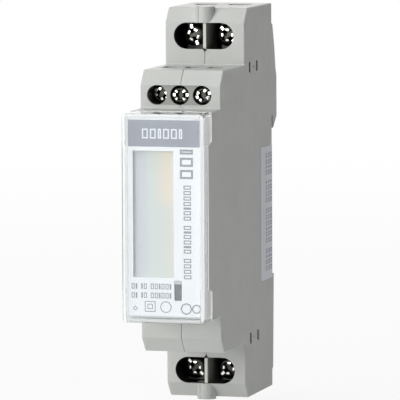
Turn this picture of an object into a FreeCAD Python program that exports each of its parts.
import FreeCAD, Part
import math
import os

# One-module energy meter for a 35 mm rail. Units are mm. The front faces -Y, the rail is at +Y,
# +X is to the right and +Z is up. The origin is on the rail seat plane, at mid-width, on the
# centre line of the rail. Depths are measured from the seat plane towards the front.

# Housing outline
WIDTH = 18.0
END_Z = 43.1                # half the height, over the terminal blocks
SHOULDER_Z = 30.7           # half the height of the shoulder blocks
NOSE_Z = 22.5               # half the height of the nose
TERMINAL_DEPTH = 23.6
SHOULDER_DEPTH = 44.0
NOSE_DEPTH = 54.5
CHAMFER_DEPTH = 2.7         # slope at the outer end of each block
CHAMFER_HEIGHT = 3.2
CREASE_RADIUS = 0.5         # edges that run across the width
SIDE_EDGE = 0.2             # chamfer round each side face
SIDE_WALL = 1.2
NOSE_WALL = 1.5
FRONT_WALL = 1.3
END_WALL = 1.4
SLOPE_WALL = 1.3            # wall behind the slope of a terminal block
REAR_WALL = 1.3
WEB = 1.1                   # web between a terminal chamber and the electronics
CHAMBER_ROOM = 1.2          # wire cage to the chamber's inner end

# Rail and hook
RAIL_HEIGHT = 35.0
RAIL_SHEET = 1.0
RAIL_GAP = 0.3
HOOK_OVERLAP = 2.5
HOOK_REACH = 4.5
HOOK_TOP = 26.5
HOOK_BACK = [(0.8, 1.7), (1.9, 6.8), (3.5, 11.8)]   # back slope: (in from HOOK_REACH, up from HOOK_TOP)
HOOK_RISE = 12.1            # hook's top to where its back slope meets the housing
LEDGE_REACH = 1.5
LEDGE_FOOT = 0.75
LEDGE_SLOPE = 0.3
LEDGE_END = 39.3
REAR_STEP = 4.1             # inner depth of the rear wall above and below the rail recess
RECESS_CORE = 14.0
POCKET_TOP = 36.8
POCKET_RIB = 0.8
POCKET_SIDE = 7.0

# Main terminals
TERMINAL_INSET = 6.1        # housing's end to the axis of the screws
WELL_CENTRE = -0.3
WELL_SIDE = 1.0             # inner side wall to the end of the driver well
WELL_HEIGHT = 5.8
NOTCH_WIDTH = 1.3
NOTCH_DEPTH = 0.6
SCREW_RECESS = 4.5
MAIN_TURNS = {"upper_left": 20, "upper_right": 35, "lower_left": -30, "lower_right": 30}
HEAD_GAP = 0.4              # well to screw head, above and below
HEAD_HEIGHT = 1.8
SHANK_DIAMETER = 4.0
DRIVE_WIDTH = 0.9
DRIVE_DEPTH = 1.1
CROSS_ARM = 0.33            # half a cross arm, as a share of the head's diameter
SLOT_SHARE = 0.7            # depth of the slot, as a share of the cross
DOME_SHARE = 0.35            # slope round the head, as a share of its height
THREAD_CLEARANCE = 0.05
SEAT_CLEARANCE = 0.1
BAR_THICKNESS = 1.2
BAR_SIDE_GAP = 0.6
BAR_DEPTH = 11.2            # seat plane to the front face of the contact bars
BAR_INSET = 2.9             # housing's end to the end of the contact bars
SHUNT_LENGTH = 10.0
CAGE_SIDE_GAP = 0.6         # cage to the side wall
CAGE_DIVIDER_GAP = 0.175
CAGE_HEIGHT = 7.0
CAGE_WALL = 0.8
CAGE_PLATE = 1.5
CAGE_FLOOR = 1.0
CAGE_MOUTH = 4.6
DIVIDER_THICKNESS = 0.65
DIVIDER_PROUD = 0.3
GROOVE_DEPTH = 0.5
GROOVE_CLEARANCE = 0.1

# Rounded tongue that closes the seam at each end
TONGUE_CENTRE = -0.4
TONGUE_RADIUS = 2.1
TONGUE_DEPTH = 24.0         # seat plane to the front of the tongue
TONGUE_SEAM = -1.4
TONGUE_PROUD = 0.35
TONGUE_CLEARANCE = 0.1
SEAM_GAP = 0.12
SEAM_DEPTH = 0.4

# Auxiliary terminals
AUX_SIDE_GAP = 0.6          # side walls to the outer clamps, on the average of both sides
AUX_TURNS = [45, 0, 50]     # how far each small screw's recess is turned
AUX_CENTRE = -0.3
AUX_RISE = 2.9              # nose to the row of small terminals
AUX_BARRIER = 0.8           # from one clamp to the next
AUX_RECESS_DEPTH = 0.4
AUX_HEAD_GAP = 0.25
AUX_HEAD_HEIGHT = 1.5
AUX_SHANK_GAP = 0.15
AUX_DRIVE_WIDTH = 0.75
AUX_DRIVE_DEPTH = 0.9
AUX_OPEN_RECESS = 0.7       # screw head below the face when undone
AUX_CLOSED_RECESS = 3.6     # left screw, nearly done up
AUX_CLAMP_SUNK = 7.1        # shoulder face to the front of the clamps
AUX_CLAMP_PLATE = 1.8
AUX_CLAMP_FLOOR = 1.0
AUX_MOUTH = 5.2
AUX_CLAMP_DROP = 2.8        # screw axis to the clamp's underside
AUX_ROOF_GAP = 0.6
AUX_CLAMP_GAP = 0.2
AUX_ENTRY_MARGIN = 0.6
AUX_REAR_WALL = 1.7
AUX_PAD = 0.6
AUX_PAD_GAP = 0.05
AUX_TAIL = 0.8
AUX_BOARD_GAP = 0.4         # wall under the clamps to the terminal board
AUX_BOARD_SIDE = 0.4
AUX_BOARD_HALF = 3.4

# Clear cover and what lies behind it
COVER_DEPTH = 59.2
COVER_STEP = 0.05           # cover inside the nose's outline
COVER_WALL = 0.8
COVER_FRONT = 1.0
COVER_CORNER = 1.0
COVER_EDGE = 0.5
EAR_REACH = 2.8
EAR_START = 15.4
EAR_SLANT = 0.8
COVER_CLEARANCE = 0.1
TAB_WIDTH = 3.0
TAB_LENGTH = 1.1
TAB_X = 3.9
PLATE_DEPTH = 56.9
PLATE_THICKNESS = 0.5
PLATE_INSET = 0.4
FRAME_GAP = 0.15            # frame to the cover's upper and lower walls
FRAME_SKIN = 0.5
FRAME_REACH = 3.6
FRAME_WALL = 0.5
WINDOW_EDGE = 1.05          # plate's left edge to the window
WINDOW_WIDTH = 9.05
WINDOW_HEIGHT = 27.2
WINDOW_Z = 0.8
GLASS_MARGIN = 0.65
GLASS_END_MARGIN = 0.4
GLASS_THICKNESS = 1.4
STRIP_WIDTH = 1.0
STRIP_INSET = 0.9
REFLECTOR_THICKNESS = 2.0
REFLECTOR_GAP = 0.3
PULSE_GAP = 0.2
PULSE_WIDTH = 1.4
PULSE_DROP = 0.7            # window's lower edge to the light pipe
PULSE_HEIGHT = 4.1
LED_HEIGHT = 1.1
LED_WIDTH = 1.4
LED_LENGTH = 1.7

# Boards and their parts
BOARD = 1.2
BOARD_X = -3.4              # left face of the main board
BOARD_REAR = 13.0
BOARD_SHOULDER_GAP = 2.4    # to the inner face of the shoulder's end wall
BOARD_FRONT_GAP = 1.2       # to the inner face of the shoulder's front wall
BOARD_CLEARANCE = 0.3
DISPLAY_GAP = 0.1
DISPLAY_MARGIN = 0.4
POST_SIZE = 2.6
PIN_SIZE = 1.4
POSTS = [(-16.0, 24.3), (-16.0, -24.3), (-45.5, 15.5), (-45.5, -15.5)]
LEAD_SIZE = 0.5
LEAD_CLEARANCE = 0.05
LEAD_TAIL = 0.8
LEAD_PLACES = {             # through-hole leads of the main board as (y, z), by part
    "film_capacitor": [(-19.5, -21.0), (-19.5, -11.0)],
    "smoothing_capacitor": [(-31.0, 3.0), (-31.0, 0.5)],
    "varistor": [(-18.0, 15.5), (-18.0, 20.5)],
    "optocoupler": [(-42.8, -17.8), (-42.8, -15.3), (-37.2, -17.8), (-37.2, -15.3)],
    "crystal": [(-40.0, 9.0), (-40.0, 13.9)],
    "input_resistor": [(-27.0, -15.0), (-27.0, -3.0)],
}
ROOM_MARGIN = 1.4           # tall parts to the right side wall
CHIPS = {                   # y, z, width, length, height and pin pitch
    "metering_chip": (-22.0, -3.0, 3.9, 9.9, 1.7, 1.27),
    "controller_chip": (-38.0, -2.0, 7.0, 8.0, 1.5, 1.0),
    "memory_chip": (-33.0, -14.0, 3.9, 4.9, 1.6, 1.27),
}
PIN_SHARE = 0.6             # both ends of a chip past its outer pins, as a share of the pitch
RESISTOR_COUNT = 6
LINK_PINS = 7
SOLDER = 0.02               # film under a surface part
CAN_RADIUS = 3.1            # smoothing capacitor
CAN_LENGTH = 10.0
CAN_PAST_LEAD = 2.0
CAN_LEAD_ROOT = 0.2
CRIMP_DEPTH = 0.4
CRIMP_WIDTH = 0.6
CRIMP_AT = 1.2
DISC_THICKNESS = 3.4        # varistor
DISC_STANDOFF = 0.2
DISC_MARGIN = 1.3
CRYSTAL_HEIGHT = 3.2
CRYSTAL_WIDTH = 4.4
CRYSTAL_MARGIN = 3.0
RESISTOR_RADIUS = 1.4
RESISTOR_MARGIN = 2.6
RESISTOR_STANDOFF = 0.3
CHIP_STANDOFF = 0.15
CHIP_FOOT = 0.2
CHIP_REACH = 0.9
ROW_PLACE = (-16.5, -14.5)  # lowest of the small resistors, as (y, z)
ROW_LENGTH = 2.0
ROW_WIDTH = 1.2
ROW_HEIGHT = 0.5
ROW_PITCH = 2.2
LINK_PITCH = 2.54           # header between the boards
LINK_SIZE = 2.4
LINK_STANDOFF = 0.6
LINK_PIN = 0.6
SENSE_SIZE = 0.8            # pins from the bars to the main board
SENSE_OVERLAP = 2.6
SENSE_PAST = 1.2
NEUTRAL_PAST = 3.0

# Snap latches of the right shell
LATCH_Z = 29.95
LATCH_FRONT = 19.3
LATCH_REAR = 13.0
LATCH_SLOT = 0.8
LATCH_HEIGHT = 2.3
LATCH_CLEARANCE = 0.1
LATCH_SUNK = 0.3
DOT_RADIUS = 0.35
DOT_DEPTH = 0.5

# Rail clip and its spring
CLIP_WIDTH = 9.0
CLIP_WINGS = 11.2
CLIP_FLOOR = 2.9
CLIP_WING_THICKNESS = 1.2
CLIP_REAR = 1.1
CLIP_CLEARANCE = 0.2
CLIP_TAB = 1.6              # how far the pull tab stands below the housing
CLIP_GROOVE = 0.8           # tool groove in the pull tab
CLIP_NOSE_REACH = 3.9
CLIP_NOSE_OVERLAP = 1.5
CLIP_NOSE_SLOPE = 3.6
WINDOW_TOP = 27.0
WINDOW_BOTTOM = 38.1
CLIP_WINDOW = 5.0
LEDGE_TOP = 36.4
LEDGE_THICKNESS = 1.5
LEDGE_WIDTH = 4.4
LEDGE_ROOT = 0.5
SPRING_STRIP = 0.4          # thickness of the spring's strip
SPRING_DEEP = 1.2           # its width, along Y
SPRING_WIDTH = 4.2
SPRING_RUNS = 5
SPRING_DEPTH = 1.1

# Sticker on the right side
STICKER_WIDTH = 10.0
STICKER_TOP = 11.4
STICKER_HEIGHT = 29.9
STICKER_THICKNESS = 0.1

HALF = WIDTH / 2
INNER = HALF - SIDE_WALL
NOSE_INNER = HALF - NOSE_WALL
RAIL_EDGE = RAIL_HEIGHT / 2 + RAIL_GAP
LIP_FRONT = RAIL_SHEET + RAIL_GAP
TERMINAL_Z = END_Z - TERMINAL_INSET
CHAMBER_INNER = TERMINAL_Z - CAGE_HEIGHT / 2 - CHAMBER_ROOM
BAR_END = END_Z - BAR_INSET
WELL_LENGTH = 2 * (INNER - WELL_SIDE)
HEAD_DIAMETER = WELL_HEIGHT - 2 * HEAD_GAP
CAGE_WIDTH = INNER - CAGE_SIDE_GAP - CAGE_DIVIDER_GAP - DIVIDER_THICKNESS / 2
TERMINAL_X = DIVIDER_THICKNESS / 2 + CAGE_DIVIDER_GAP + CAGE_WIDTH / 2
BAR_WIDTH = CAGE_WIDTH - 2 * (CAGE_WALL + BAR_SIDE_GAP)
ENTRY_WIDTH = CAGE_WIDTH - 2 * CAGE_WALL - SEAT_CLEARANCE
AUX_CLAMP_WIDTH = 2 * (INNER - AUX_BARRIER - AUX_SIDE_GAP) / 3
AUX_CLAMP_WALL = AUX_CLAMP_WIDTH / 6
AUX_PITCH = AUX_CLAMP_WIDTH + AUX_BARRIER
AUX_XS = [AUX_CENTRE - AUX_PITCH, AUX_CENTRE, AUX_CENTRE + AUX_PITCH]
AUX_Z = NOSE_Z + AUX_RISE
AUX_HOLE = AUX_CLAMP_WIDTH
AUX_HEAD_DIAMETER = AUX_HOLE - 2 * AUX_HEAD_GAP
AUX_SHANK_DIAMETER = AUX_CLAMP_WIDTH - 2 * (AUX_CLAMP_WALL + AUX_SHANK_GAP)
AUX_ENTRY_WIDTH = AUX_CLAMP_WIDTH - 2 * AUX_ENTRY_MARGIN
AUX_CLAMP_DEPTH = SHOULDER_DEPTH - AUX_CLAMP_SUNK
AUX_SHANK_LENGTH = AUX_CLAMP_SUNK + AUX_CLAMP_PLATE + SEAT_CLEARANCE - AUX_OPEN_RECESS - AUX_HEAD_HEIGHT
AUX_CLAMP_REAR = AUX_CLAMP_DEPTH - AUX_CLAMP_PLATE - AUX_MOUTH - AUX_CLAMP_FLOOR
AUX_CLAMP_BOTTOM = AUX_Z - AUX_CLAMP_DROP
AUX_CLAMP_TOP = SHOULDER_Z - FRONT_WALL - AUX_ROOF_GAP
AUX_FLOOR = AUX_CLAMP_BOTTOM - AUX_CLAMP_GAP - SIDE_WALL
AUX_BOARD_TOP = AUX_FLOOR - AUX_BOARD_GAP
BOARD_STEP = AUX_CLAMP_REAR - AUX_REAR_WALL
BOARD_NOSE = AUX_BOARD_TOP - BOARD - AUX_CLAMP_GAP
BOARD_SHOULDER = SHOULDER_Z - FRONT_WALL - BOARD_SHOULDER_GAP
BOARD_LOWER_REACH = SHOULDER_DEPTH - FRONT_WALL - BOARD_FRONT_GAP
COVER_HALF_HEIGHT = NOSE_Z - COVER_STEP
FRAME_HALF_WIDTH = HALF - COVER_WALL - COVER_CLEARANCE
FRAME_HALF_HEIGHT = COVER_HALF_HEIGHT - COVER_WALL - FRAME_GAP
WINDOW_LEFT = WINDOW_EDGE - FRAME_HALF_WIDTH
PULSE_LEFT = WINDOW_LEFT + WINDOW_WIDTH + PULSE_GAP
PULSE_TOP = WINDOW_Z - WINDOW_HEIGHT / 2 - PULSE_DROP
DISPLAY_HALF_WIDTH = NOSE_INNER - BOARD_CLEARANCE
DISPLAY_HALF_HEIGHT = NOSE_Z - NOSE_WALL - DISPLAY_MARGIN
BLOCKS = {                  # width along y, height off the board, margin past the leads, edge
    "film_capacitor": (5.0, INNER - BOARD_X - BOARD - ROOM_MARGIN, 1.5, 0.5),
    "optocoupler": (6.4, 3.4, 1.1, 0.3),
}
AUX_RECESSES = [AUX_CLOSED_RECESS, AUX_OPEN_RECESS, AUX_OPEN_RECESS]
ENDS = {"upper": 1, "lower": -1}
SIDES = {"left": -1, "right": 1}
BAR_REAR = BAR_DEPTH - BAR_THICKNESS
WEB_INNER = CHAMBER_INNER - WEB
CHAMBER_OUTER = END_Z - END_WALL
OVER = 1.0                  # how far a cut runs past the face that it opens
ROOT = 0.5                  # how far a post or prong runs into the wall that carries it
TOUCH = 0.000001            # points nearer than this count as one


def box(x0, x1, y0, y1, z0, z1):
    """Box between two corners, given in any order."""
    low = FreeCAD.Vector(min(x0, x1), min(y0, y1), min(z0, z1))
    return Part.makeBox(abs(x1 - x0), abs(y1 - y0), abs(z1 - z0), low)


def prism(outline, x0, x1):
    """Outline of (y, z) points, drawn out from x0 to x1."""
    points = [FreeCAD.Vector(x0, y, z) for y, z in outline]
    face = Part.Face(Part.makePolygon(points + points[:1]))
    return face.extrude(FreeCAD.Vector(x1 - x0, 0, 0))


def rod(x, z, radius, y0, y1):
    """Round rod along Y."""
    return Part.makeCylinder(radius, y1 - y0, FreeCAD.Vector(x, y0, z), FreeCAD.Vector(0, 1, 0))


def peg(y, z, radius, x0, x1):
    """Round rod along X."""
    return Part.makeCylinder(radius, x1 - x0, FreeCAD.Vector(x0, y, z), FreeCAD.Vector(1, 0, 0))


def stud(y, z, size, x0, x1):
    """Square bar along X."""
    return box(x0, x1, y - size / 2, y + size / 2, z - size / 2, z + size / 2)


def slot(x, z, length, height, y0, y1):
    """Round-ended slot across the width, cut along Y."""
    half = (length - height) / 2
    middle = box(x - half, x + half, y0, y1, z - height / 2, z + height / 2)
    return middle.fuse([rod(x - half, z, height / 2, y0, y1), rod(x + half, z, height / 2, y0, y1)])


def flip(outline):
    """The same outline for the lower end."""
    return [(y, -z) for y, z in outline]


def keep_edges(shape, test):
    """Edges whose two ends both pass a test."""
    return [edge for edge in shape.Edges if all(test(vertex.Point) for vertex in edge.Vertexes)]


def save(name, shape):
    """Write one node, with faces that lie in one plane joined."""
    shape = shape.removeSplitter()
    shape.exportStep("parts/" + name + ".step")
    print(name, "valid", shape.isValid(), "solids", len(shape.Solids), "volume", round(shape.Volume, 1))


def front_outline():
    """Front half of the side outline, from the top rear corner down to the nose."""
    return [
        (0, END_Z),
        (CHAMFER_DEPTH - TERMINAL_DEPTH, END_Z),
        (-TERMINAL_DEPTH, END_Z - CHAMFER_HEIGHT),
        (-TERMINAL_DEPTH, SHOULDER_Z),
        (CHAMFER_DEPTH - SHOULDER_DEPTH, SHOULDER_Z),
        (-SHOULDER_DEPTH, SHOULDER_Z - CHAMFER_HEIGHT),
        (-SHOULDER_DEPTH, NOSE_Z),
        (-NOSE_DEPTH, NOSE_Z),
    ]


def rear_outline():
    """Rear edge from the bottom up: clip ledge, rail recess, and the hook with its back slope."""
    back = [(HOOK_REACH - inward, HOOK_TOP + up) for inward, up in HOOK_BACK]
    return [
        (0, -LEDGE_END),
        (LEDGE_FOOT, LEDGE_SLOPE - LEDGE_END),
        (LEDGE_REACH, -RAIL_EDGE),
        (0, -RAIL_EDGE),
        (0, RAIL_EDGE),
        (LIP_FRONT, RAIL_EDGE),
        (LIP_FRONT, RAIL_HEIGHT / 2 - HOOK_OVERLAP),
        (HOOK_REACH, RAIL_HEIGHT / 2),
        (HOOK_REACH, HOOK_TOP),
        *back,
        (0, HOOK_TOP + HOOK_RISE),
    ]


def housing_block():
    """Solid housing form with its creases rounded and its side edges chamfered."""
    front = front_outline()
    block = prism(front + flip(front)[::-1] + rear_outline(), -HALF, HALF)
    convex = [front[1], front[2], front[4], front[5]]
    corners = convex + flip(convex)
    creases = [
        edge
        for edge in block.Edges
        if abs(edge.Length - WIDTH) < TOUCH
        and any(math.hypot(edge.Vertexes[0].Y - y, edge.Vertexes[0].Z - z) < TOUCH for y, z in corners)
    ]
    block = block.makeFillet(CREASE_RADIUS, creases)
    sides = keep_edges(block, lambda p: abs(abs(p.x) - HALF) < TOUCH and p.y < TOUCH)
    rims = [edge for edge in sides if edge.CenterOfMass.y < -1e-3]
    return block.makeChamfer(SIDE_EDGE, rims)


def slope_corner(depth, end, end_wall):
    """Inner corner behind a block's slope, as two (y, z) points that leave the slope's wall whole."""
    wall = SLOPE_WALL * math.hypot(CHAMFER_DEPTH, CHAMFER_HEIGHT)
    low = end - CHAMFER_HEIGHT + (CHAMFER_HEIGHT * FRONT_WALL - wall) / CHAMFER_DEPTH
    back = (CHAMFER_DEPTH * (CHAMFER_HEIGHT - end_wall) + wall) / CHAMFER_HEIGHT - depth
    return [(FRONT_WALL - depth, low), (back, end - end_wall)]


def main_cavity():
    """Room for the boards, from the nose back to the rear wall."""
    lower_front = flip(slope_corner(SHOULDER_DEPTH, SHOULDER_Z, FRONT_WALL))[::-1]
    outline = [
        (FRONT_WALL - SHOULDER_DEPTH, AUX_FLOOR),
        (-BOARD_STEP, AUX_FLOOR),
        (-BOARD_STEP, SHOULDER_Z - FRONT_WALL),
        (FRONT_WALL - TERMINAL_DEPTH, SHOULDER_Z - FRONT_WALL),
        (FRONT_WALL - TERMINAL_DEPTH, WEB_INNER),
        (-REAR_STEP, WEB_INNER),
        (-REAR_STEP, RECESS_CORE),
        (-REAR_WALL, RECESS_CORE),
        (-REAR_WALL, -RECESS_CORE),
        (-REAR_STEP, -RECESS_CORE),
        (-REAR_STEP, -WEB_INNER),
        (FRONT_WALL - TERMINAL_DEPTH, -WEB_INNER),
        (FRONT_WALL - TERMINAL_DEPTH, FRONT_WALL - SHOULDER_Z),
        *lower_front,
    ]
    nose_z = NOSE_Z - NOSE_WALL
    nose = box(-NOSE_INNER, NOSE_INNER, -NOSE_DEPTH - OVER, FRONT_WALL - SHOULDER_DEPTH + SEAT_CLEARANCE,
               -nose_z, nose_z)
    return prism(outline, -INNER, INNER).fuse(nose)


def chamber_outline():
    """Side outline of the upper terminal chamber, with the slope of the block's end."""
    return [
        (FRONT_WALL - TERMINAL_DEPTH, CHAMBER_INNER),
        *slope_corner(TERMINAL_DEPTH, END_Z, END_WALL),
        (-REAR_STEP, CHAMBER_OUTER),
        (-REAR_STEP, CHAMBER_INNER),
    ]


def terminal_cuts(sign):
    """Chamber, driver well, wire entries and bar slots of one end."""
    outline = chamber_outline()
    half_notch = NOTCH_WIDTH / 2
    well_edge = TERMINAL_Z - WELL_HEIGHT / 2
    notch = [(-half_notch, well_edge + SEAT_CLEARANCE), (half_notch, well_edge + SEAT_CLEARANCE),
             (0, well_edge - NOTCH_DEPTH)]
    corners = [FreeCAD.Vector(x, -TERMINAL_DEPTH - OVER, sign * z) for x, z in notch]
    mouth_face = Part.Face(Part.makePolygon(corners + corners[:1]))
    wedge = mouth_face.extrude(FreeCAD.Vector(0, 2 * OVER + FRONT_WALL, 0))
    well_end = CHAMFER_DEPTH - TERMINAL_DEPTH
    cuts = [
        prism(outline if sign > 0 else flip(outline), -INNER, INNER),
        slot(WELL_CENTRE, sign * TERMINAL_Z, WELL_LENGTH, WELL_HEIGHT, -TERMINAL_DEPTH - OVER, well_end),
        wedge,
    ]
    for side in SIDES.values():
        x = side * TERMINAL_X
        mouth = CAGE_MOUTH - SEAT_CLEARANCE
        cuts.append(
            box(x - ENTRY_WIDTH / 2, x + ENTRY_WIDTH / 2, -BAR_REAR, mouth - BAR_REAR,
                sign * (CHAMBER_OUTER - OVER), sign * (END_Z + OVER))
        )
        bar = BAR_WIDTH / 2 + SEAT_CLEARANCE
        cuts.append(
            box(x - bar, x + bar, -BAR_DEPTH - SEAT_CLEARANCE, SEAT_CLEARANCE - BAR_REAR,
                sign * (WEB_INNER - OVER), sign * (CHAMBER_INNER + OVER))
        )
    groove = DIVIDER_THICKNESS / 2 + GROOVE_CLEARANCE
    cuts.append(
        box(-groove, groove, FRONT_WALL - TERMINAL_DEPTH, GROOVE_DEPTH - REAR_STEP,
            sign * (CHAMBER_INNER - GROOVE_DEPTH), sign * CHAMBER_OUTER)
    )
    return cuts


def aux_cuts():
    """Wells, clamp pockets, wire entries and tail slots of the small terminals."""
    recess = slot(AUX_CENTRE, AUX_Z, 2 * AUX_PITCH + AUX_HOLE, AUX_HOLE,
                  -SHOULDER_DEPTH - OVER, AUX_RECESS_DEPTH - SHOULDER_DEPTH)
    cuts = [recess]
    front = -AUX_CLAMP_DEPTH - AUX_CLAMP_GAP / 2
    rear = -AUX_CLAMP_REAR + AUX_CLAMP_GAP
    half = AUX_CLAMP_WIDTH / 2 + AUX_CLAMP_GAP
    mouth = aux_mouth()
    for x in AUX_XS:
        cuts.append(rod(x, AUX_Z, AUX_HOLE / 2, -SHOULDER_DEPTH - OVER, front + SEAT_CLEARANCE))
        cuts.append(
            box(x - half, x + half, front, rear, AUX_CLAMP_BOTTOM - AUX_CLAMP_GAP, SHOULDER_Z - FRONT_WALL)
        )
        cuts.append(
            box(x - AUX_ENTRY_WIDTH / 2, x + AUX_ENTRY_WIDTH / 2, mouth[0] + AUX_CLAMP_GAP,
                mouth[1] - AUX_CLAMP_GAP, SHOULDER_Z - FRONT_WALL - SEAT_CLEARANCE, SHOULDER_Z + OVER)
        )
        tail = AUX_TAIL / 2 + AUX_CLAMP_GAP
        cuts.append(
            box(x - tail, x + tail, aux_tail_y() - tail, aux_tail_y() + tail,
                AUX_CLAMP_BOTTOM - 2 * SIDE_WALL, AUX_CLAMP_BOTTOM)
        )
    return cuts


def aux_mouth():
    """Front and rear of the wire window in an auxiliary clamp."""
    return AUX_CLAMP_PLATE - AUX_CLAMP_DEPTH, AUX_CLAMP_PLATE + AUX_MOUTH - AUX_CLAMP_DEPTH


def aux_tail_y():
    """Where the clamp tails stand, along Y."""
    return (aux_mouth()[0] + aux_mouth()[1]) / 2


def ear_outline(grow):
    """Side outline of the cover's upper ear, behind the nose rim."""
    rim = -NOSE_DEPTH
    return [
        (rim - OVER, EAR_START - grow),
        (rim, EAR_START - grow),
        (rim + EAR_REACH + grow, EAR_START + EAR_SLANT - grow),
        (rim + EAR_REACH + grow, COVER_HALF_HEIGHT + OVER),
        (rim - OVER, COVER_HALF_HEIGHT + OVER),
    ]


def tab_boxes(sign, grow):
    """The two snap tabs on the upper or lower edge of the cover."""
    rear = EAR_REACH - NOSE_DEPTH
    inner = COVER_HALF_HEIGHT - COVER_WALL
    half = TAB_WIDTH / 2 + grow
    return [
        box(side * TAB_X - half, side * TAB_X + half, rear - OVER, rear + TAB_LENGTH + grow,
            sign * (inner - grow), sign * (COVER_HALF_HEIGHT + (OVER if grow else 0)))
        for side in SIDES.values()
    ]


def cover_cuts():
    """Rebates in the nose for the cover's ears, upper and lower walls and snap tabs."""
    step = HALF - COVER_WALL - COVER_CLEARANCE
    inner = COVER_HALF_HEIGHT - COVER_WALL - COVER_CLEARANCE
    rear = EAR_REACH - NOSE_DEPTH + COVER_CLEARANCE
    cuts = []
    for sign in ENDS.values():
        outline = ear_outline(COVER_CLEARANCE)
        outline = outline if sign > 0 else flip(outline)
        cuts += [prism(outline, step, HALF + OVER), prism(outline, -HALF - OVER, -step)]
        cuts.append(
            box(-HALF - OVER, HALF + OVER, -NOSE_DEPTH - OVER, rear, sign * inner, sign * (NOSE_Z + OVER))
        )
        cuts += tab_boxes(sign, COVER_CLEARANCE)
    return cuts


def clip_cuts():
    """Stepped channel of the rail clip."""
    wing = CLIP_WINGS / 2 + CLIP_CLEARANCE
    throat = CLIP_WIDTH / 2 + CLIP_CLEARANCE
    wing_rear = CLIP_WING_THICKNESS + 2 * CLIP_CLEARANCE - CLIP_FLOOR
    return [
        box(-wing, wing, -CLIP_FLOOR, wing_rear, -RAIL_EDGE, -END_Z - OVER),
        box(-throat, throat, -CLIP_FLOOR, LEDGE_REACH + OVER, -RAIL_EDGE, -END_Z - OVER),
    ]


def rear_pockets():
    """Coring behind the upper chamber, one pocket in each shell."""
    floor = REAR_WALL - REAR_STEP
    bottom = RAIL_EDGE + 2 * REAR_WALL
    return [
        box(side * POCKET_RIB, side * POCKET_SIDE, floor, HOOK_REACH + OVER, bottom, POCKET_TOP)
        for side in SIDES.values()
    ]


def latch_places():
    """Each latch slot as (y, z)."""
    return [(-depth, sign * LATCH_Z) for sign in ENDS.values() for depth in (LATCH_FRONT, LATCH_REAR)]


def latch_bars(grow, x0, x1):
    """Latch prongs, or their slots when grown."""
    half_y = LATCH_SLOT / 2 - LATCH_CLEARANCE + grow
    half_z = LATCH_HEIGHT / 2 - LATCH_CLEARANCE + grow
    return [box(x0, x1, y - half_y, y + half_y, z - half_z, z + half_z) for y, z in latch_places()]


def tongue():
    """Rounded tongue that fills the end slope, upper end."""
    reach = END_Z - CHAMFER_HEIGHT
    back = CHAMFER_DEPTH - TERMINAL_DEPTH
    centre = FreeCAD.Vector(TONGUE_CENTRE, TONGUE_RADIUS - TONGUE_DEPTH, reach)
    height = CHAMFER_HEIGHT + TONGUE_PROUD
    round_bar = Part.makeCylinder(TONGUE_RADIUS, height, centre)
    front_half = box(-HALF, HALF, -TONGUE_DEPTH - OVER, back, reach - OVER, END_Z + TONGUE_PROUD + OVER)
    return round_bar.common(front_half)


def shell_pair():
    """Left and right shells, split on the seam plane with an interlocking tongue at each end."""
    shell = housing_block().cut([main_cavity()] + aux_cuts() + cover_cuts() + clip_cuts() + rear_pockets())
    for sign in ENDS.values():
        shell = shell.cut(terminal_cuts(sign))
    ledge = box(-LEDGE_WIDTH / 2, LEDGE_WIDTH / 2, -CLIP_FLOOR - LEDGE_ROOT, CLIP_REAR - SPRING_DEPTH,
                -LEDGE_TOP, -LEDGE_TOP - LEDGE_THICKNESS)
    shell = shell.fuse(ledge)
    reach = END_Z + HOOK_REACH + COVER_DEPTH
    left = shell.common(box(-reach, 0, -reach, reach, -reach, reach)).cut(seam_groove())
    right = shell.common(box(0, reach, -reach, reach, -reach, reach))
    left, right = add_tongues(left, right)
    return dress_left(left), dress_right(right)


def seam_groove():
    """Narrow shadow gap that runs round the housing on the left shell's side of the seam."""
    front = front_outline()
    points = [FreeCAD.Vector(-SEAM_GAP, y, z) for y, z in front + flip(front)[::-1] + rear_outline()]
    face = Part.Face(Part.makePolygon(points + points[:1]))
    core = face
    for y in (-SEAM_DEPTH, SEAM_DEPTH):
        for z in (-SEAM_DEPTH, SEAM_DEPTH):
            core = core.common(face.translated(FreeCAD.Vector(0, y, z)))
    return face.cut(core).extrude(FreeCAD.Vector(SEAM_GAP + OVER, 0, 0))


def add_tongues(left, right):
    """Give the right shell its two tongues and the left shell the matching rebates."""
    upper = tongue().cut(prism(chamber_outline(), -HALF, HALF))
    for upper_end in (True, False):
        whole = upper if upper_end else upper.mirror(FreeCAD.Vector(), FreeCAD.Vector(0, 0, 1))
        bound = whole.BoundBox
        split = [bound.YMin - OVER, bound.YMax, bound.ZMin - OVER, bound.ZMax + OVER]
        rebate = box(TONGUE_SEAM - TONGUE_CLEARANCE, OVER, *split)
        wall = tongue_wall(1 if upper_end else -1)
        right = right.fuse(whole.common(box(TONGUE_SEAM, HALF, *split)).fuse(wall))
        left = left.fuse(whole.common(box(-HALF, TONGUE_SEAM, *split))).cut(rebate)
    return left, right


def tongue_wall(sign):
    """Flat root of a tongue, in line with the end slope and its wall."""
    top = END_Z - SEAT_CLEARANCE
    outline = [
        (CHAMFER_DEPTH - TERMINAL_DEPTH, top),
        (SEAT_CLEARANCE - TERMINAL_DEPTH, END_Z - CHAMFER_HEIGHT),
        (FRONT_WALL - TERMINAL_DEPTH, END_Z - CHAMFER_HEIGHT),
        (CHAMFER_DEPTH - TERMINAL_DEPTH, CHAMBER_OUTER),
    ]
    return prism(outline if sign > 0 else flip(outline), TONGUE_SEAM, SIDE_WALL)


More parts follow.
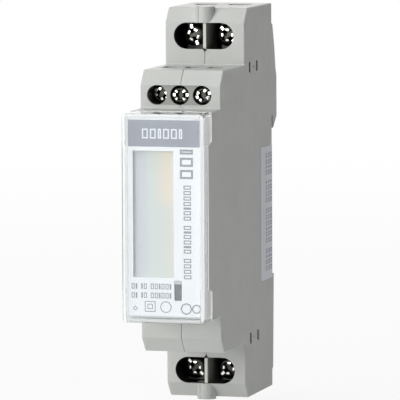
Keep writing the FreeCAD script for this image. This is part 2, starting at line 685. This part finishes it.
def dress_left(left):
    """Board posts and latch prongs, which only the left shell has."""
    posts = [stud(y, z, POST_SIZE, -INNER - ROOT, BOARD_X) for y, z in POSTS]
    pins = [stud(y, z, PIN_SIZE, BOARD_X - ROOT, BOARD_X + BOARD + LEAD_TAIL) for y, z in POSTS]
    prongs = latch_bars(0, -INNER - ROOT, HALF - LATCH_SUNK)
    return left.fuse(posts + pins + prongs)


def dress_right(right):
    """Latch slots and the small centre mark between each pair."""
    slots = latch_bars(LATCH_CLEARANCE, INNER - OVER, HALF + OVER)
    middle = -(LATCH_FRONT + LATCH_REAR) / 2
    dots = [peg(middle, sign * LATCH_Z, DOT_RADIUS, HALF - DOT_DEPTH, HALF + OVER) for sign in ENDS.values()]
    return right.cut(slots + dots)


def cover():
    """Clear cap over the nose, with an ear at each corner and snap tabs above and below."""
    front = -COVER_DEPTH
    rear = EAR_REACH - NOSE_DEPTH
    cap = box(-HALF, HALF, front, rear, -COVER_HALF_HEIGHT, COVER_HALF_HEIGHT)
    along = [edge for edge in cap.Edges if abs(edge.Vertexes[0].Y - edge.Vertexes[1].Y) > TOUCH]
    cap = cap.makeFillet(COVER_CORNER, along)
    cap = cap.makeChamfer(COVER_EDGE, keep_edges(cap, lambda p: abs(p.y - front) < TOUCH))
    inner_x = HALF - COVER_WALL
    inner_z = COVER_HALF_HEIGHT - COVER_WALL
    hollow = box(-inner_x, inner_x, front + COVER_FRONT, rear + OVER, -inner_z, inner_z)
    waist = [(-NOSE_DEPTH, -EAR_START), (-NOSE_DEPTH, EAR_START), (rear, EAR_START + EAR_SLANT),
             (rear + OVER, EAR_START + EAR_SLANT), (rear + OVER, -EAR_START - EAR_SLANT),
             (rear, -EAR_START - EAR_SLANT)]
    cap = cap.cut([hollow, prism(waist, -HALF - OVER, HALF + OVER)])
    tabs = tab_boxes(1, 0) + tab_boxes(-1, 0)
    inner = box(-HALF, HALF, rear, rear + TAB_LENGTH, -COVER_HALF_HEIGHT, COVER_HALF_HEIGHT)
    return cap.fuse([tab.common(inner) for tab in tabs])


def front_frame():
    """Carrier of the display: a flange behind the label plate and a shallow frame inside the nose."""
    front = PLATE_THICKNESS - PLATE_DEPTH
    flange = box(-FRAME_HALF_WIDTH, FRAME_HALF_WIDTH, front, -NOSE_DEPTH,
                 -FRAME_HALF_HEIGHT, FRAME_HALF_HEIGHT)
    x = NOSE_INNER - COVER_CLEARANCE
    z = NOSE_Z - NOSE_WALL - COVER_CLEARANCE
    body = box(-x, x, -NOSE_DEPTH, FRAME_REACH - NOSE_DEPTH, -z, z)
    room = box(FRAME_WALL - x, x - FRAME_WALL, -NOSE_DEPTH, FRAME_REACH - NOSE_DEPTH + OVER, FRAME_WALL - z,
               z - FRAME_WALL)
    pocket = glass_box(SEAT_CLEARANCE, front + FRAME_SKIN, -NOSE_DEPTH)
    pulse = pulse_box(SEAT_CLEARANCE, front - OVER, OVER - NOSE_DEPTH)
    return flange.fuse(body).cut([room, pocket, window_box(front - OVER), pulse])


def window_box(y0):
    """Viewing window of the display."""
    return box(WINDOW_LEFT, WINDOW_LEFT + WINDOW_WIDTH, y0, -NOSE_DEPTH,
               WINDOW_Z - WINDOW_HEIGHT / 2, WINDOW_Z + WINDOW_HEIGHT / 2)


def glass_box(grow, y0, y1):
    """Footprint of the display glass, behind the window."""
    half = WINDOW_HEIGHT / 2 + GLASS_END_MARGIN + grow
    return box(WINDOW_LEFT - GLASS_MARGIN - grow, WINDOW_LEFT + WINDOW_WIDTH + GLASS_MARGIN + grow,
               y0, y1, WINDOW_Z - half, WINDOW_Z + half)


def pulse_box(grow, y0, y1):
    """Footprint of the light pipe of the pulse lamp."""
    return box(PULSE_LEFT - grow, PULSE_LEFT + PULSE_WIDTH + grow, y0, y1,
               PULSE_TOP + grow, PULSE_TOP - PULSE_HEIGHT - grow)


def label_plate():
    """Thin printed plate on the front of the frame."""
    x, z = FRAME_HALF_WIDTH, FRAME_HALF_HEIGHT - PLATE_INSET
    plate = box(-x, x, -PLATE_DEPTH, PLATE_THICKNESS - PLATE_DEPTH, -z, z)
    along = [edge for edge in plate.Edges if abs(edge.Vertexes[0].Y - edge.Vertexes[1].Y) > TOUCH]
    plate = plate.makeFillet(COVER_EDGE, along)
    pulse_hole = pulse_box(SEAT_CLEARANCE, -PLATE_DEPTH - OVER, -NOSE_DEPTH)
    return plate.cut([window_box(-PLATE_DEPTH - OVER), pulse_hole])


def display_parts():
    """Display glass, reflector, contact strips, light pipe, lamp and the board behind them."""
    board_front = FRAME_REACH - NOSE_DEPTH + DISPLAY_GAP
    glass_rear = -NOSE_DEPTH - SEAT_CLEARANCE / 2
    strip_half = WINDOW_HEIGHT / 2 + GLASS_END_MARGIN / 2
    left = WINDOW_LEFT - GLASS_MARGIN + STRIP_INSET
    right = WINDOW_LEFT + WINDOW_WIDTH + GLASS_MARGIN - STRIP_INSET
    z0, z1 = WINDOW_Z - strip_half, WINDOW_Z + strip_half
    pipe_rear = board_front - LED_HEIGHT - SEAT_CLEARANCE
    middle = PULSE_LEFT + PULSE_WIDTH / 2
    pulse_z = PULSE_TOP - PULSE_HEIGHT / 2
    return {
        "lcd_glass": glass_box(0, glass_rear - GLASS_THICKNESS + SEAT_CLEARANCE, glass_rear),
        "contact_strip_left": box(left, left + STRIP_WIDTH, glass_rear, board_front, z0, z1),
        "contact_strip_right": box(right - STRIP_WIDTH, right, glass_rear, board_front, z0, z1),
        "lcd_reflector": box(left + STRIP_WIDTH + REFLECTOR_GAP, right - STRIP_WIDTH - REFLECTOR_GAP,
                             glass_rear + SEAT_CLEARANCE, glass_rear + REFLECTOR_THICKNESS, z0, z1),
        "pulse_window": pulse_box(0, -PLATE_DEPTH, pipe_rear),
        "pulse_led": box(middle - LED_WIDTH / 2, middle + LED_WIDTH / 2, pipe_rear + SEAT_CLEARANCE,
                         board_front, pulse_z - LED_LENGTH / 2, pulse_z + LED_LENGTH / 2),
        "display_board": box(-DISPLAY_HALF_WIDTH, DISPLAY_HALF_WIDTH, board_front, board_front + BOARD,
                             -DISPLAY_HALF_HEIGHT, DISPLAY_HALF_HEIGHT),
    }


def display_board_rear():
    """Y of the rear face of the display board."""
    return FRAME_REACH - NOSE_DEPTH + DISPLAY_GAP + BOARD


def leads(name, x_top):
    """Leads from a part down through the main board."""
    bottom = BOARD_X - LEAD_TAIL
    return [stud(y, z, LEAD_SIZE, bottom, x_top) for y, z in LEAD_PLACES[name]]


def main_board():
    """Upright board in the side plane, with post and lead holes."""
    front = display_board_rear() + BOARD_CLEARANCE
    step = BOARD_CLEARANCE - BOARD_STEP
    outline = [
        (front, BOARD_NOSE),
        (step, BOARD_NOSE),
        (step, BOARD_SHOULDER),
        (-BOARD_REAR, BOARD_SHOULDER),
        (-BOARD_REAR, -BOARD_SHOULDER),
        (-BOARD_LOWER_REACH, -BOARD_SHOULDER),
        (-BOARD_LOWER_REACH, -BOARD_NOSE),
        (front, -BOARD_NOSE),
    ]
    board = prism(outline, BOARD_X, BOARD_X + BOARD)
    span = (BOARD_X - OVER, BOARD_X + BOARD + OVER)
    holes = [stud(y, z, PIN_SIZE + 2 * LEAD_CLEARANCE, *span) for y, z in POSTS]
    for places in LEAD_PLACES.values():
        for y, z in places:
            holes.append(stud(y, z, LEAD_SIZE + 2 * LEAD_CLEARANCE, *span))
    return board.cut(holes)


def body_on_board(name, width_y, height_x, margin_z, edge):
    """Moulded block of a through-hole part, standing over its leads."""
    places = LEAD_PLACES[name]
    y = sum(place[0] for place in places) / len(places)
    low = min(place[1] for place in places) - margin_z
    high = max(place[1] for place in places) + margin_z
    base = BOARD_X + BOARD
    block = box(base, base + height_x, y - width_y / 2, y + width_y / 2, low, high)
    block = block.makeChamfer(edge, keep_edges(block, lambda p: p.x > base + TOUCH))
    return block.fuse(leads(name, base + edge))


def round_capacitor():
    """Electrolytic can lying along Z, with its crimped groove."""
    places = LEAD_PLACES["smoothing_capacitor"]
    y = places[0][0]
    start = places[0][1] + CAN_PAST_LEAD
    centre = FreeCAD.Vector(BOARD_X + BOARD + CAN_RADIUS + SEAT_CLEARANCE, y, start)
    up = FreeCAD.Vector(0, 0, 1)
    can = Part.makeCylinder(CAN_RADIUS, CAN_LENGTH, centre, up)
    ring = Part.makeCylinder(CAN_RADIUS + OVER, CRIMP_WIDTH, centre + up * CRIMP_AT, up)
    core = Part.makeCylinder(CAN_RADIUS - CRIMP_DEPTH, CRIMP_WIDTH, centre + up * CRIMP_AT, up)
    can = can.cut(ring.cut(core))
    wires = []
    for index, place in enumerate(places):
        top = centre.x + (index - 0.5) * CAN_RADIUS
        half = LEAD_SIZE / 2
        wires.append(stud(y, place[1], LEAD_SIZE, BOARD_X - LEAD_TAIL, top + half))
        wires.append(box(top - half, top + half, y - half, y + half, place[1], start + CAN_LEAD_ROOT))
    return can.fuse(wires)


def disc_varistor():
    """Coated disc standing on two leads."""
    radius = (INNER - BOARD_X - BOARD - DISC_STANDOFF - DISC_MARGIN) / 2
    places = LEAD_PLACES["varistor"]
    y = places[0][0]
    z = (places[0][1] + places[1][1]) / 2
    x = BOARD_X + BOARD + radius + DISC_STANDOFF
    disc = rod(x, z, radius, y - DISC_THICKNESS / 2, y + DISC_THICKNESS / 2)
    rims = [edge for edge in disc.Edges if edge.BoundBox.YLength < TOUCH]
    disc = disc.makeChamfer(DISC_THICKNESS / 4, rims)
    return disc.fuse(leads("varistor", x))


def can_crystal():
    """Low metal can of the quartz crystal."""
    places = LEAD_PLACES["crystal"]
    y = places[0][0]
    z = (places[0][1] + places[1][1]) / 2
    round_end = CRYSTAL_WIDTH / 2
    half = (places[1][1] - places[0][1]) / 2 + CRYSTAL_MARGIN - round_end
    base = BOARD_X + BOARD + SEAT_CLEARANCE
    can = box(base, base + CRYSTAL_HEIGHT, y - round_end, y + round_end, z - half, z + half)
    ends = [peg(y, z + side * half, round_end, base, base + CRYSTAL_HEIGHT) for side in (-1, 1)]
    return can.fuse(ends).fuse(leads("crystal", base + ROOT))


def axial_resistor():
    """Fusible resistor lying along Z between its two bent leads."""
    places = LEAD_PLACES["input_resistor"]
    y = places[0][0]
    x = BOARD_X + BOARD + RESISTOR_RADIUS + RESISTOR_STANDOFF
    low, high = places[0][1], places[1][1]
    length = high - low - 2 * RESISTOR_MARGIN
    body = Part.makeCylinder(RESISTOR_RADIUS, length, FreeCAD.Vector(x, y, low + RESISTOR_MARGIN))
    half = LEAD_SIZE / 2
    wire = box(x - half, x + half, y - half, y + half, low - half, high + half)
    return body.fuse([wire] + leads("input_resistor", x))


def surface_chip(y, z, width_y, width_z, height, pitch):
    """Moulded chip on the left face of the main board, with gull-wing pins on two sides."""
    face = BOARD_X
    body = box(face - height, face - CHIP_STANDOFF, y - width_y / 2, y + width_y / 2,
               z - width_z / 2, z + width_z / 2)
    pins = 1 + int((width_z - pitch * PIN_SHARE) / pitch)
    legs = []
    for index in range(pins):
        middle = z + pitch * (index - (pins - 1) / 2)
        for side in (-1, 1):
            edge = y + side * width_y / 2
            span = (middle - pitch / 4, middle + pitch / 4)
            legs.append(box(face - CHIP_FOOT, face - SOLDER, edge, edge + side * CHIP_REACH, *span))
            shoulder = (edge - side * SEAT_CLEARANCE, edge + side * CHIP_FOOT)
            legs.append(box(face - height / 2, face - CHIP_FOOT, *shoulder, *span))
    return body.fuse(legs)


def chip_resistors():
    """Row of small resistors between the metering chip and the sense pins."""
    y, start = ROW_PLACE
    parts = []
    for index in range(RESISTOR_COUNT):
        z = start + ROW_PITCH * index
        parts.append(box(BOARD_X - ROW_HEIGHT, BOARD_X - SOLDER, y, y + ROW_LENGTH, z, z + ROW_WIDTH))
    return Part.makeCompound(parts)


def board_link():
    """Right-angle header between the main board and the display board."""
    front = display_board_rear() + SOLDER
    base = BOARD_X + BOARD + SOLDER
    half, pin = LINK_PINS * LINK_PITCH / 2, LINK_PIN / 2
    strip = box(base, base + LINK_SIZE, front + LINK_STANDOFF, front + LINK_STANDOFF + LINK_SIZE, -half, half)
    middle = base + LINK_SIZE / 2
    pins = []
    for index in range(LINK_PINS):
        z = (index - (LINK_PINS - 1) / 2) * LINK_PITCH
        pins.append(box(middle - pin, middle + pin, front, front + 2 * LINK_STANDOFF, z - pin, z + pin))
    return strip.fuse(pins)


def terminal_board():
    """Small cross board that the tails of the auxiliary clamps are soldered to."""
    y = aux_tail_y()
    half = INNER - AUX_BOARD_SIDE
    board = box(-half, half, y - AUX_BOARD_HALF, y + AUX_BOARD_HALF, AUX_BOARD_TOP - BOARD, AUX_BOARD_TOP)
    tail = AUX_TAIL / 2 + LEAD_CLEARANCE
    holes = [box(x - tail, x + tail, y - tail, y + tail, 0, END_Z) for x in AUX_XS]
    return board.cut(holes)


def contact_bars():
    """Live and neutral bars between the two ends, with the shunt in the live one."""
    def bar(side, z0, z1):
        x = side * TERMINAL_X
        return box(x - BAR_WIDTH / 2, x + BAR_WIDTH / 2, -BAR_DEPTH, -BAR_REAR, z0, z1)

    half = SHUNT_LENGTH / 2
    return {
        "live_bar_upper": bar(-1, half, BAR_END),
        "shunt_strip": bar(-1, -half, half),
        "live_bar_lower": bar(-1, -BAR_END, -half),
        "neutral_bar": bar(1, -BAR_END, BAR_END),
    }


def sense_pins():
    """Three pins that take the shunt's voltage and the neutral to the main board."""
    face, half = BOARD_X - SEAT_CLEARANCE, SENSE_SIZE / 2
    pins = [
        box(face - SENSE_SIZE, face, -BOARD_REAR - SENSE_OVERLAP, -BAR_DEPTH, z - half, z + half)
        for z in (-SHUNT_LENGTH / 2 - SENSE_PAST, SHUNT_LENGTH / 2 + SENSE_PAST)
    ]
    right_face = BOARD_X + BOARD + SEAT_CLEARANCE
    x = TERMINAL_X - BAR_WIDTH / 2 + SENSE_SIZE
    z = SHUNT_LENGTH / 2 + NEUTRAL_PAST
    stem = box(x, x + SENSE_SIZE, -BOARD_REAR - SENSE_SIZE, -BAR_DEPTH, z, z + SENSE_SIZE)
    arm = box(right_face, x + SENSE_SIZE, -BOARD_REAR - SENSE_SIZE, -BOARD_REAR, z, z + SENSE_SIZE)
    return Part.makeCompound(pins + [stem.fuse(arm)])


def pole_divider(sign):
    """Insulating sheet between the two poles of one end, held in grooves of both shells."""
    inset = GROOVE_CLEARANCE
    well_low = TERMINAL_Z - WELL_HEIGHT / 2 + inset
    well_high = TERMINAL_Z + WELL_HEIGHT / 2 - inset
    chamber = chamber_outline()
    wall = chamber[0][0] + inset
    proud = -TERMINAL_DEPTH - DIVIDER_PROUD
    outline = [
        (wall, CHAMBER_INNER - GROOVE_DEPTH + inset),
        (wall, well_low),
        (proud + inset * 2, well_low),
        (proud, well_low + inset * 2),
        (proud, well_high),
        (chamber[1][0] + inset * 4, well_high),
        (chamber[2][0] + inset, CHAMBER_OUTER - inset),
        (GROOVE_DEPTH - REAR_STEP - inset, CHAMBER_OUTER - inset),
        (GROOVE_DEPTH - REAR_STEP - inset, CHAMBER_INNER - GROOVE_DEPTH + inset),
    ]
    half = DIVIDER_THICKNESS / 2
    return prism(outline if sign > 0 else flip(outline), -half, half)


def drive_recess(x, z, front, diameter, width, depth, turn):
    """Cross recess with one arm carried out as a slot, turned about the screw's axis."""
    cross = diameter * CROSS_ARM
    arms = [
        box(-diameter, diameter, front - OVER, front + depth * SLOT_SHARE, -width / 2, width / 2),
        box(-cross, cross, front - OVER, front + depth, -width / 2, width / 2),
        box(-width / 2, width / 2, front - OVER, front + depth, -cross, cross),
    ]
    recess = arms[0].fuse(arms[1:])
    recess.rotate(FreeCAD.Vector(), FreeCAD.Vector(0, 1, 0), turn)
    recess.translate(FreeCAD.Vector(x, 0, z))
    return recess


def screw(x, z, front, head, shank, length, drive, turn):
    """Cross and slot screw along Y. head and drive are (diameter or width, height or depth)."""
    diameter, height = head
    top = rod(x, z, diameter / 2, front, front + height)
    rim = [edge for edge in top.Edges if abs(edge.BoundBox.YMax - front) < TOUCH]
    top = top.makeChamfer(height * DOME_SHARE, rim)
    stem = rod(x, z, shank / 2, front + height / 2, front + height + length)
    return top.fuse(stem).cut(drive_recess(x, z, front, diameter, drive[0], drive[1], turn))


def main_screw(side, sign, turn):
    """Terminal screw of one pole, whose tip bears on the contact bar."""
    front = SCREW_RECESS - TERMINAL_DEPTH
    length = -BAR_DEPTH - SEAT_CLEARANCE - front - HEAD_HEIGHT
    return screw(side * TERMINAL_X, sign * TERMINAL_Z, front, (HEAD_DIAMETER, HEAD_HEIGHT), SHANK_DIAMETER,
                 length, (DRIVE_WIDTH, DRIVE_DEPTH), turn)


def wire_cage(side, sign):
    """Rising cage clamp of one pole, at its open end of travel, with its tunnel along Z."""
    x = side * TERMINAL_X
    front = -BAR_DEPTH - SEAT_CLEARANCE - CAGE_PLATE
    floor = CAGE_MOUTH - BAR_REAR
    z0 = sign * TERMINAL_Z - CAGE_HEIGHT / 2
    z1 = sign * TERMINAL_Z + CAGE_HEIGHT / 2
    half = CAGE_WIDTH / 2
    cage = box(x - half, x + half, front, floor + CAGE_FLOOR, z0, z1)
    corners = [edge for edge in cage.Edges if abs(edge.Vertexes[0].Z - edge.Vertexes[1].Z) > TOUCH]
    cage = cage.makeChamfer(CAGE_WALL / 2, corners)
    inner = half - CAGE_WALL
    tunnel = box(x - inner, x + inner, front + CAGE_PLATE, floor, z0 - OVER, z1 + OVER)
    bore = SHANK_DIAMETER / 2 + THREAD_CLEARANCE
    hole = rod(x, sign * TERMINAL_Z, bore, front - OVER, front + CAGE_PLATE + OVER)
    return cage.cut([tunnel, hole])


def aux_screw(index, turn):
    """Small terminal screw, as far in as its own recess says."""
    front = AUX_RECESSES[index] - SHOULDER_DEPTH
    return screw(AUX_XS[index], AUX_Z, front, (AUX_HEAD_DIAMETER, AUX_HEAD_HEIGHT), AUX_SHANK_DIAMETER,
                 AUX_SHANK_LENGTH, (AUX_DRIVE_WIDTH, AUX_DRIVE_DEPTH), turn)


def aux_clamp(index):
    """Fixed clamp block of one small terminal, with its solder tail."""
    x = AUX_XS[index]
    half = AUX_CLAMP_WIDTH / 2
    y0, y1 = aux_mouth()
    rear = -AUX_CLAMP_REAR
    block = box(x - half, x + half, -AUX_CLAMP_DEPTH, rear, AUX_CLAMP_BOTTOM, AUX_CLAMP_TOP)
    inner = half - AUX_CLAMP_WALL
    tunnel = box(x - inner, x + inner, y0, y1, AUX_CLAMP_BOTTOM + AUX_CLAMP_WALL, AUX_CLAMP_TOP + OVER)
    hole = rod(x, AUX_Z, AUX_SHANK_DIAMETER / 2 + THREAD_CLEARANCE, -AUX_CLAMP_DEPTH - OVER, y0 + OVER)
    tail = AUX_TAIL / 2
    pin = box(x - tail, x + tail, aux_tail_y() - tail, aux_tail_y() + tail,
              AUX_BOARD_TOP - BOARD - LEAD_TAIL, AUX_CLAMP_BOTTOM + AUX_CLAMP_WALL / 2)
    return block.cut([tunnel, hole]).fuse(pin)


def aux_pad(index):
    """Pressure pad that rides on the tip of a small terminal screw, inside its clamp."""
    x = AUX_XS[index]
    tip = AUX_RECESSES[index] - SHOULDER_DEPTH + AUX_HEAD_HEIGHT + AUX_SHANK_LENGTH + AUX_PAD_GAP
    half = AUX_CLAMP_WIDTH / 2 - AUX_CLAMP_WALL - AUX_CLAMP_GAP
    bottom = AUX_CLAMP_BOTTOM + AUX_CLAMP_WALL + AUX_CLAMP_GAP
    return box(x - half, x + half, tip, tip + AUX_PAD, bottom, AUX_CLAMP_TOP - AUX_CLAMP_GAP)


def rail_clip():
    """Sliding foot that hooks under the rail, with wings, nose, spring window and pull tab."""
    top = -RAIL_EDGE - CLIP_CLEARANCE / 2
    bottom = -END_Z - CLIP_TAB
    front = CLIP_CLEARANCE - CLIP_FLOOR
    half = CLIP_WIDTH / 2
    plate = box(-half, half, front, CLIP_REAR, top, bottom)
    wings = box(-CLIP_WINGS / 2, CLIP_WINGS / 2, front, front + CLIP_WING_THICKNESS, top, -END_Z)
    nose = [
        (0, top),
        (LIP_FRONT, top),
        (LIP_FRONT, CLIP_NOSE_OVERLAP - RAIL_HEIGHT / 2),
        (LIP_FRONT + RAIL_GAP, CLIP_NOSE_OVERLAP - RAIL_HEIGHT / 2),
        (CLIP_NOSE_REACH, CLIP_NOSE_OVERLAP - CLIP_NOSE_SLOPE - RAIL_HEIGHT / 2),
        (CLIP_NOSE_REACH, top - CLIP_NOSE_SLOPE),
        (CLIP_REAR, top - CLIP_NOSE_SLOPE - CLIP_NOSE_OVERLAP),
        (0, top - CLIP_NOSE_SLOPE - CLIP_NOSE_OVERLAP),
    ]
    clip = plate.fuse([wings, prism(nose, -half, half)])
    window = box(-CLIP_WINDOW / 2, CLIP_WINDOW / 2, front - OVER, CLIP_REAR + OVER,
                 -WINDOW_TOP, -WINDOW_BOTTOM)
    groove = box(-CLIP_WINDOW / 2, CLIP_WINDOW / 2, CLIP_REAR - CLIP_GROOVE, CLIP_REAR + OVER,
                 -END_Z, CLIP_GROOVE - END_Z - CLIP_TAB)
    return clip.cut([window, groove])


def clip_spring():
    """Zigzag of flat strip between the housing ledge and the top of the clip's window."""
    half = SPRING_STRIP / 2
    low = -LEDGE_TOP + half + SEAT_CLEARANCE / 2
    high = -WINDOW_TOP - half - SEAT_CLEARANCE / 2
    step = (high - low) / (SPRING_RUNS - 1)
    reach = SPRING_WIDTH / 2 - half - step / 2
    front, rear = -SPRING_DEPTH - SPRING_DEEP / 2, SPRING_DEEP / 2 - SPRING_DEPTH
    pieces = []
    for run in range(SPRING_RUNS):
        z = low + run * step
        pieces.append(box(-reach, reach, front, rear, z - half, z + half))
    for bend in range(SPRING_RUNS - 1):
        way = 1 if bend % 2 == 0 else -1
        z = low + (bend + 0.5) * step
        outer, inner = (rod(way * reach, z, step / 2 + grow, front, rear) for grow in (half, -half))
        side = box(way * reach, way * SPRING_WIDTH, front, rear, z - step, z + step)
        pieces.append(outer.cut(inner).common(side))
    return pieces[0].fuse(pieces[1:]).removeSplitter()


def side_sticker():
    """Rating sticker on the right side, at its rear edge."""
    return box(HALF, HALF + STICKER_THICKNESS, -STICKER_WIDTH, -SEAT_CLEARANCE,
               STICKER_TOP - STICKER_HEIGHT, STICKER_TOP)


def main():
    """Build every node."""
    os.makedirs("parts", exist_ok=True)
    nodes = {"rail_clip": rail_clip(), "clip_spring": clip_spring(), "side_sticker": side_sticker()}
    nodes["housing_left"], nodes["housing_right"] = shell_pair()
    nodes["front_cover"] = cover()
    nodes["front_frame"] = front_frame()
    nodes["label_plate"] = label_plate()
    nodes.update(display_parts())
    nodes["main_board"] = main_board()
    nodes["board_link"] = board_link()
    nodes["terminal_board"] = terminal_board()
    for name, sizes in BLOCKS.items():
        nodes[name] = body_on_board(name, *sizes)
    nodes["smoothing_capacitor"] = round_capacitor()
    nodes["varistor"] = disc_varistor()
    nodes["crystal"] = can_crystal()
    nodes["input_resistor"] = axial_resistor()
    for name, sizes in CHIPS.items():
        nodes[name] = surface_chip(*sizes)
    nodes["chip_resistors"] = chip_resistors()
    nodes.update(contact_bars())
    nodes["sense_pins"] = sense_pins()
    for end, sign in ENDS.items():
        nodes["pole_divider_" + end] = pole_divider(sign)
        for hand, side in SIDES.items():
            place = end + "_" + hand
            nodes["main_screw_" + place] = main_screw(side, sign, MAIN_TURNS[place])
            nodes["wire_cage_" + place] = wire_cage(side, sign)
    for index, turn in enumerate(AUX_TURNS):
        number = str(index + 1)
        nodes["aux_screw_" + number] = aux_screw(index, turn)
        nodes["aux_clamp_" + number] = aux_clamp(index)
        nodes["aux_pad_" + number] = aux_pad(index)
    for name, shape in nodes.items():
        save(name, shape)


main()
